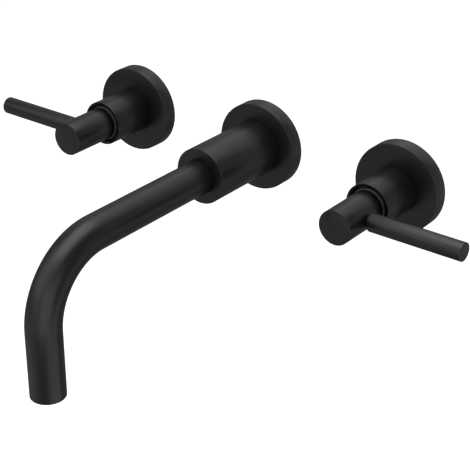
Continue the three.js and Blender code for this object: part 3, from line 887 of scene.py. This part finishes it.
def make_seat_seal(side):
    """The rubber cup that the cartridge seals on, with two raised lips on the inlet side."""
    node = side + "_seat_seal"
    place = room(node)
    inner = SEAT_SEAL_BORE
    third = (place.radius - inner) / 3
    lip = place.back + 0.35 * MM
    install(turn("seat_" + side, [
        (inner, place.back, 0.12 * MM),
        (inner + third, place.back, 0.12 * MM),
        (inner + 1.2 * third, lip, 0.08 * MM),
        (inner + 1.8 * third, lip, 0.08 * MM),
        (inner + 2 * third, place.back, 0.12 * MM),
        (place.radius, place.back, 0.12 * MM),
        (place.radius, place.front, 0.15 * MM),
        (inner, place.front, 0.15 * MM),
    ], place.axis), node)


# ---- Inside the valves ---------------------------------------------------------------------------


def make_headwork_body(side):
    node = side + "_headwork_body"
    place = room(node)
    nut = room(side + "_body_o_ring")
    moving = room(side + "_moving_disc")
    washer = room(side + "_thrust_washer")
    sleeve = room(side + "_sleeve")
    barrel = sleeve.radius - SLEEVE_WALL - 2 * FIT_GAP
    neck = SPINDLE_BORE + HEADWORK_NECK_WALL
    cage_floor = washer.front + FIT_GAP
    thread_front = nut.back - SEAT_GAP
    thread_back = thread_front - HEADWORK_THREAD
    hex_back = nut.front + SEAT_GAP
    hex_front = hex_back + HEADWORK_HEXAGON
    body = turn("headwork_" + side, [
        (CAGE_BORE, place.back, 0.3 * MM),
        (CAGE_BORE, cage_floor, 0.1 * MM),
        (SPINDLE_BORE, cage_floor, 0.15 * MM),
        (SPINDLE_BORE, place.front, 0.3 * MM),
        (neck, place.front, 0.4 * MM),
        (neck, BARREL_FRONT + 1.5 * MM, 0.3 * MM),
        (neck - 0.5 * MM, BARREL_FRONT + 1.2 * MM),
        (neck - 0.5 * MM, BARREL_FRONT, 0.1 * MM),
        (barrel, BARREL_FRONT, 0.5 * MM),
        (barrel, hex_front - 1 * MM),
        (CAGE_RADIUS, hex_front - 1 * MM),
        (CAGE_RADIUS, thread_front, 0.1 * MM),
        (G_HALF_RADIUS - G_HALF_DEPTH, thread_front),
        *reversed(thread(G_HALF_RADIUS, thread_back, thread_front, G_HALF_PITCH, G_HALF_DEPTH)),
        (G_HALF_RADIUS - G_HALF_DEPTH, thread_back),
        (CAGE_RADIUS, thread_back, 0.1 * MM),
        (CAGE_RADIUS, place.back, 0.4 * MM),
    ], place.axis)
    flats = prism(
        "hexagon", 6, place.radius, place.axis + OUT * hex_back, OUT, hex_front - hex_back,
        hexagon_turn(place),
    )
    across = place.radius * math.cos(math.pi / 6)
    crown = turn("crown", [
        (0, hex_back),
        (across - 0.3 * MM, hex_back),
        (place.radius + 0.2 * MM, hex_back + 1.2 * MM),
        (place.radius + 0.2 * MM, hex_front - 1.2 * MM),
        (across - 0.3 * MM, hex_front),
        (0, hex_front),
    ], place.axis)
    flats = drill(flats, crown, operation="INTERSECT")
    core = turn("core", [
        (0, hex_back - 2 * MM),
        (CAGE_RADIUS - 0.5 * MM, hex_back - 2 * MM),
        (CAGE_RADIUS - 0.5 * MM, hex_front + 2 * MM),
        (0, hex_front + 2 * MM),
    ], place.axis)
    flats = drill(flats, core)
    windows = block(
        "windows", place.axis + OUT * (moving.back + moving.front) / 2,
        (4 * CAGE_RADIUS, moving.front - moving.back - 0.1 * MM, 7 * MM),
    )
    body = drill(body, windows)
    install(drill(body, flats, operation="UNION"), node)


def hexagon_turn(place):
    """Turns the hexagon so that its corners point the way the CAD one's do."""
    width = place.high.x - place.low.x
    height = place.high.z - place.low.z
    return 0 if width >= height else math.pi / 6


def make_spindle(side):
    node = side + "_spindle"
    place = room(node)
    washer = room(side + "_thrust_washer")
    moving = room(side + "_moving_disc")
    clip = room(side + "_spindle_circlip")
    seals = [room(side + "_spindle_o_ring_" + end) for end in ("rear", "front")]
    flange_back = moving.front + SEAT_GAP
    spline_back = clip.front + 0.85 * MM
    grooves = []
    for seal in seals:
        grooves += [
            (SPINDLE_RADIUS, seal.back - 0.15 * MM, 0.1 * MM),
            (SEAL_FLOOR, seal.back - 0.15 * MM, 0.1 * MM),
            (SEAL_FLOOR, seal.front + 0.15 * MM, 0.1 * MM),
            (SPINDLE_RADIUS, seal.front + 0.15 * MM, 0.1 * MM),
        ]
    clip_floor = SPINDLE_RADIUS - 0.8 * MM
    shaft = turn("spindle_" + side, [
        (0, flange_back),
        (moving.radius, flange_back, 0.2 * MM),
        (moving.radius, washer.back - SEAT_GAP, 0.2 * MM),
        (SPINDLE_RADIUS, washer.back - SEAT_GAP, 0.15 * MM),
        *grooves,
        (SPINDLE_RADIUS, clip.back - SEAT_GAP),
        (clip_floor, clip.back - SEAT_GAP),
        (clip_floor, clip.front + SEAT_GAP),
        (SPINDLE_RADIUS, clip.front + SEAT_GAP),
        (SPINDLE_RADIUS, spline_back, 0.3 * MM),
        (0, spline_back),
    ], place.axis)
    spline = star("spline", place.axis, SPLINE_TIP, SPLINE_ROOT, spline_back - 0.5 * MM, place.front)
    lead = turn("lead", [
        (0, spline_back - MM),
        (SPLINE_TIP + 0.5 * MM, spline_back - MM),
        (SPLINE_TIP + 0.5 * MM, place.front - 1.1 * MM),
        (SPLINE_ROOT - 0.2 * MM, place.front),
        (0, place.front),
    ], place.axis)
    spline = drill(spline, lead, operation="INTERSECT")
    tang = block(
        "tang", place.axis + OUT * (place.back + flange_back + 0.5 * MM) / 2,
        (TANG[0], flange_back + 0.5 * MM - place.back, TANG[1]),
    )
    install(drill(drill(shaft, spline, operation="UNION"), tang, operation="UNION"), node)


def make_spline_bush(side):
    node = side + "_spline_bush"
    place = room(node)
    bush = turn("bush_" + side, [
        (0, place.back),
        (place.radius, place.back, 0.3 * MM),
        (place.radius, place.front, 0.3 * MM),
        (0, place.front),
    ], place.axis)
    teeth = star(
        "teeth", place.axis, SPLINE_TIP + FIT_GAP, SPLINE_ROOT + FIT_GAP,
        place.back - MM, place.front + MM,
    )
    install(drill(bush, teeth), node)


def make_discs(side):
    """The pair of lapped discs: two notches in the one that turns, two ports in the one that doesn't."""
    node = side + "_moving_disc"
    place = room(node)
    moving = turn("disc_moving_" + side, [
        (0, place.back),
        (place.radius, place.back, 0.15 * MM),
        (place.radius, place.front, 0.15 * MM),
        (0, place.front),
    ], place.axis)
    for middle in (0, 180):
        notch = wedge(
            "notch", place.axis, DISC_NOTCH["inner"], 2 * place.radius, middle, DISC_NOTCH["angle"],
            place.back - MM, place.front + MM,
        )
        moving = drill(moving, notch)
    slot = block("slot", place.axis + OUT * place.front, (2.8 * MM, 3.1 * MM, 9.2 * MM))
    install(drill(moving, slot), node)
    node = side + "_fixed_disc"
    place = room(node)
    fixed = turn("disc_fixed_" + side, [
        (0, place.back),
        (place.radius, place.back, 0.15 * MM),
        (place.radius, place.front, 0.15 * MM),
        (0, place.front),
    ], place.axis)
    for middle in (90, 270):
        port = wedge(
            "port", place.axis, DISC_PORT["inner"], DISC_PORT["outer"], middle, DISC_PORT["angle"],
            place.back - MM, place.front + MM,
        )
        fixed = drill(fixed, port)
    install(fixed, node)


# ---- Inside the spout ----------------------------------------------------------------------------


def make_adapter():
    node = "spout_adapter"
    place = room(node)
    tube = room("spout_tube")
    rings = [room("adapter_o_ring_" + end) for end in ("front", "rear")]
    bore = G_HALF_RADIUS + FIT_GAP
    stop = room("nipple_washer").front + SEAT_GAP
    spigot = tube.radius - TUBE_WALL - 3 * FIT_GAP
    floor = rings[0].radius - (rings[0].front - rings[0].back) - SEAT_GAP
    shoulder = tube.back - FIT_GAP - 4 * MM
    grooves = []
    for ring in rings:
        grooves += [
            (spigot, ring.front + 0.1 * MM, 0.08 * MM),
            (floor, ring.front + 0.1 * MM, 0.1 * MM),
            (floor, ring.back - 0.1 * MM, 0.1 * MM),
            (spigot, ring.back - 0.1 * MM, 0.08 * MM),
        ]
    install(turn("adapter_spout", [
        (bore, place.back, 0.4 * MM),
        *thread(bore, place.back, stop - 3 * MM, G_HALF_PITCH, G_HALF_DEPTH),
        (bore, stop - 3 * MM),
        (bore, stop, 0.1 * MM),
        (PASSAGE_RADIUS, stop, 0.2 * MM),
        (PASSAGE_RADIUS, place.front, 0.3 * MM),
        (spigot, place.front, 0.8 * MM),
        *grooves,
        (spigot, shoulder, 0.1 * MM),
        (place.radius, shoulder, 0.5 * MM),
        (place.radius, place.back, 0.5 * MM),
    ], place.axis), node)


def make_nipple():
    """A wall nipple, threaded at both ends round a plain waist, with a hexagon inside to turn it by."""
    node = "wall_nipple"
    place = room(node)
    root = G_HALF_RADIUS - G_HALF_DEPTH
    nipple = turn("nipple_wall", [
        (NIPPLE_BORE, place.back, 0.4 * MM),
        (NIPPLE_BORE, place.front, 0.2 * MM),
        (root, place.front, 0.2 * MM),
        *reversed(thread(G_HALF_RADIUS, 2 * MM, place.front - 0.2 * MM, G_HALF_PITCH, G_HALF_DEPTH)),
        (root - 0.2 * MM, 2 * MM),
        (root - 0.2 * MM, -1 * MM),
        *reversed(thread(G_HALF_RADIUS, place.back + 0.2 * MM, -1 * MM, G_HALF_PITCH, G_HALF_DEPTH)),
        (root, place.back, 0.2 * MM),
    ], place.axis)
    key = prism(
        "key_hexagon", 6, NIPPLE_BORE / math.cos(math.pi / 6),
        place.axis + OUT * (place.front - 8 * MM), OUT, 10 * MM,
    )
    install(drill(nipple, key), node)


def upright(node):
    """Where a piece turned about the outlet's own axis stands: its axis, radius, and heights."""
    low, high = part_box(node)
    return SimpleNamespace(
        axis=Vector(((low.x + high.x) / 2, (low.y + high.y) / 2, 0)),
        radius=(high.x - low.x) / 2,
        top=-high.z,
        end=-low.z,
    )


def make_aerator_housing():
    node = "aerator_housing"
    place = upright(node)
    bore = place.radius - HOUSING_WALL
    lip = bore - HOUSING_LIP
    lip_top = place.end - 1.2 * MM
    housing = turn("housing_aerator", [
        (bore, place.top, 0.2 * MM),
        (bore, lip_top, 0.1 * MM),
        (lip, lip_top, 0.1 * MM),
        (lip, place.end, 0.3 * MM),
        (place.radius, place.end, 0.25 * MM),
        (place.radius, place.end - 1.4 * MM),
        *reversed(thread(place.radius, place.top + 0.5 * MM, place.end - 1.4 * MM, MM, OUTLET_THREAD)),
        (place.radius - OUTLET_THREAD, place.top, 0.1 * MM),
    ], place.axis, DOWN)
    slots = block("key_slots", place.axis + DOWN * place.end, (3 * place.radius, 2.2 * MM, 2 * MM))
    install(drill(housing, slots), node)


def honeycomb(name, centre, rings, pitch, corner, length):
    """Hexagonal bars standing in rings about one in the middle, as one cutter."""
    bars = []
    for row in range(-rings, rings + 1):
        count = 2 * rings + 1 - abs(row)
        for column in range(count):
            across = (column - (count - 1) / 2) * pitch
            along = row * pitch * math.sin(math.pi / 3)
            spot = centre + Vector((across, along, 0))
            bars.append(prism(name, 6, corner, spot, DOWN, length, math.pi / 6))
    bpy.ops.object.select_all(action="DESELECT")
    for bar in bars:
        bar.select_set(True)
    bpy.context.view_layer.objects.active = bars[0]
    bpy.ops.object.join()
    return bpy.context.object


def make_aerator_insert():
    """The moulded insert: a shell under the screen, closed below by a fine honeycomb."""
    node = "aerator_insert"
    place = upright(node)
    housing = upright("aerator_housing")
    face = housing.radius - HOUSING_WALL - HOUSING_LIP - FIT_GAP
    seat = housing.end - 1.2 * MM - SEAT_GAP
    insert = turn("insert_aerator", [
        (0, seat - 2 * MM),
        (place.radius - MM, seat - 2 * MM, 0.2 * MM),
        (place.radius - MM, place.top, 0.15 * MM),
        (place.radius, place.top, 0.3 * MM),
        (place.radius, seat, 0.1 * MM),
        (face, seat, 0.1 * MM),
        (face, place.end, 0.2 * MM),
        (0, place.end),
    ], place.axis, DOWN)
    top = place.axis + DOWN * (seat - 3 * MM)
    cells = honeycomb("cell", top, CELL_RINGS, CELL_PITCH, CELL_CORNER, 6 * MM)
    install(drill(insert, cells), node)


def make_aerator_screen():
    """A fine square mesh, held in a rim."""
    node = "aerator_screen"
    place = upright(node)
    thickness = place.end - place.top
    bpy.ops.object.select_all(action="DESELECT")
    bpy.ops.mesh.primitive_grid_add(
        x_subdivisions=22, y_subdivisions=22, size=2 * place.radius,
        location=place.axis + DOWN * (place.top + 0.15 * MM),
    )
    edit()
    bpy.ops.mesh.select_all(action="SELECT")
    bpy.ops.mesh.inset(use_individual=True, thickness=0.13 * MM)
    bpy.ops.mesh.delete(type="FACE")
    bpy.ops.mesh.select_all(action="SELECT")
    push(DOWN * (thickness - 0.3 * MM))
    screen = finish_mesh("screen_aerator")
    plug = turn("plug", [
        (0, place.top - MM),
        (place.radius - 0.4 * MM, place.top - MM),
        (place.radius - 0.4 * MM, place.end + MM),
        (0, place.end + MM),
    ], place.axis, DOWN)
    rim = turn("rim", [
        (place.radius - 0.8 * MM, place.top, 0.1 * MM),
        (place.radius, place.top, 0.1 * MM),
        (place.radius, place.end, 0.1 * MM),
        (place.radius - 0.8 * MM, place.end, 0.1 * MM),
    ], place.axis, DOWN)
    screen = drill(screen, plug, operation="INTERSECT")
    install(drill(screen, rim, operation="UNION"), node)


def make_aerator_washer():
    node = "aerator_washer"
    place = upright(node)
    inner = room("spout_tube").radius - TUBE_WALL - 2 * MM
    install(turn("washer_aerator", [
        (inner, place.top, 0.2 * MM),
        (place.radius, place.top, 0.3 * MM),
        (place.radius, place.end, 0.3 * MM),
        (inner, place.end, 0.2 * MM),
    ], place.axis, DOWN), node)


# ---- The scene -----------------------------------------------------------------------------------

add_camera()

for side, sign in (("left", -1), ("right", 1)):
    make_escutcheon(side + "_escutcheon", room(side + "_sleeve").radius - SLEEVE_WALL + 2 * FIT_GAP)
    make_foam_ring(side + "_escutcheon_seal")
    make_sleeve(side)
    make_guide_ring(side)
    make_hub(side, sign)
    make_lever(side, sign)
    make_stud(side, sign)
    make_grub_screw(side + "_grub_screw", 1 * MM, 1.8 * MM, 0.7 * MM)
    make_headwork_body(side)
    make_spindle(side)
    make_spline_bush(side)
    make_discs(side)
    make_seat_seal(side)
    make_circlip(side)
    make_ring(side + "_thrust_washer", SPINDLE_RADIUS + FIT_GAP, 0.12 * MM, 0.2 * MM, "glide_")
    make_o_ring(side + "_body_o_ring")
    make_o_ring(side + "_spindle_o_ring_rear")
    make_o_ring(side + "_spindle_o_ring_front")
make_escutcheon("spout_escutcheon", room("spout_adapter").radius + 4 * FIT_GAP)
make_foam_ring("spout_escutcheon_seal")
make_collar()
make_tube()
make_adapter()
make_nipple()
make_ring("nipple_washer", NIPPLE_BORE, 0.2 * MM, 0.25 * MM, "gasket_")
make_o_ring("adapter_o_ring_rear")
make_o_ring("adapter_o_ring_front")
make_grub_screw("collar_grub_screw", 1.25 * MM, 1.6 * MM, 0.8 * MM)
make_aerator_housing()
make_aerator_insert()
make_aerator_screen()
make_aerator_washer()

light_the_room()
